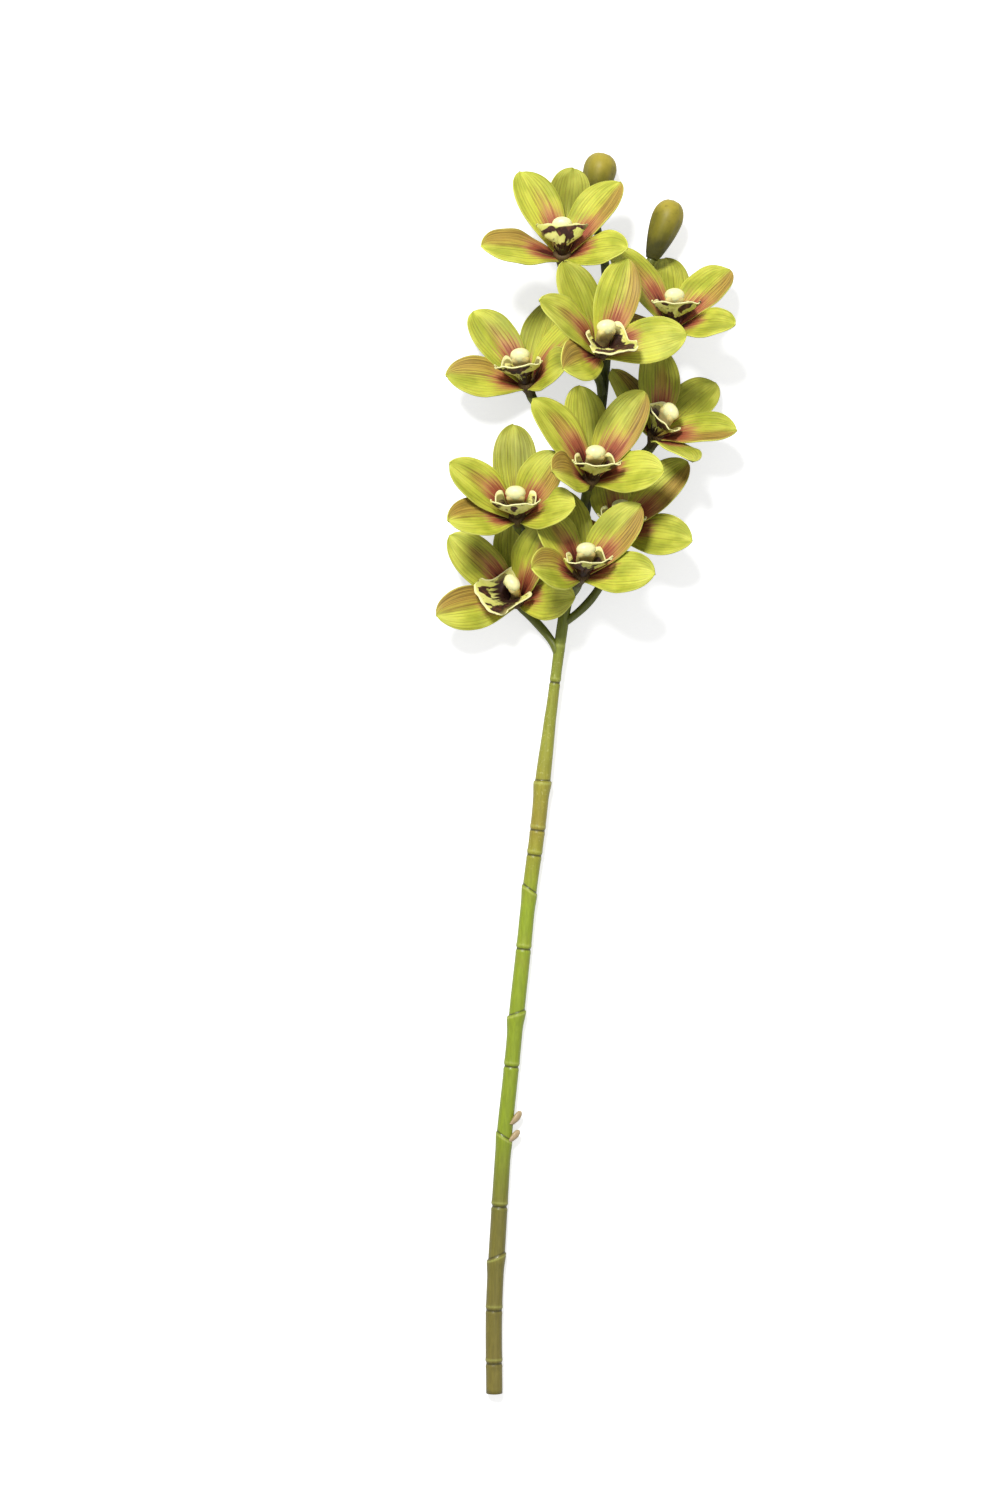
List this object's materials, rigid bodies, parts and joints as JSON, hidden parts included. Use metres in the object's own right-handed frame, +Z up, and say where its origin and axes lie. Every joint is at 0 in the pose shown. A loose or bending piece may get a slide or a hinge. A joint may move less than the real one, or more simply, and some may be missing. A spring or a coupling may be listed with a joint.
{
  "type": "cymbidium orchid stem",
  "caption": "Cut cymbidium stem lying on its side: a jointed green stalk with open yellow-green blooms, spotted lips and closed buds near its tip.",
  "frame": {"origin": "bottom centre of the bounding box, on the surface the stem lies on", "axes": "+Y along the stem from the cut end to the tip, +Z up from the surface, +X to the right seen from above"},
  "size_m": [0.1716, 0.7167, 0.1013],
  "materials": {
    "stalk_green": "smooth waxy plant skin",
    "tepal_green": "soft satin petal",
    "lip_cream": "soft satin petal",
    "column_ivory": "smooth waxy plant skin",
    "bud_olive": "smooth waxy plant skin"
  },
  "bodies": {
    "root": {"stalk": "stalk_green", "bloom_01_tepals": "tepal_green", "bloom_01_lip": "lip_cream", "bloom_01_column": "column_ivory", "bloom_02_tepals": "tepal_green", "bloom_02_lip": "lip_cream", "bloom_02_column": "column_ivory", "bloom_03_tepals": "tepal_green", "bloom_03_lip": "lip_cream", "bloom_03_column": "column_ivory", "bloom_04_tepals": "tepal_green", "bloom_04_lip": "lip_cream", "bloom_04_column": "column_ivory", "bloom_05_tepals": "tepal_green", "bloom_05_lip": "lip_cream", "bloom_05_column": "column_ivory", "bloom_06_tepals": "tepal_green", "bloom_06_lip": "lip_cream", "bloom_06_column": "column_ivory", "bloom_07_tepals": "tepal_green", "bloom_07_lip": "lip_cream", "bloom_07_column": "column_ivory", "bloom_08_tepals": "tepal_green", "bloom_08_lip": "lip_cream", "bloom_08_column": "column_ivory", "bloom_09_tepals": "tepal_green", "bloom_09_lip": "lip_cream", "bloom_09_column": "column_ivory", "bloom_10_tepals": "tepal_green", "bloom_10_lip": "lip_cream", "bloom_10_column": "column_ivory", "bud_1": "bud_olive", "bud_2": "bud_olive"}
  },
  "joints": []
}
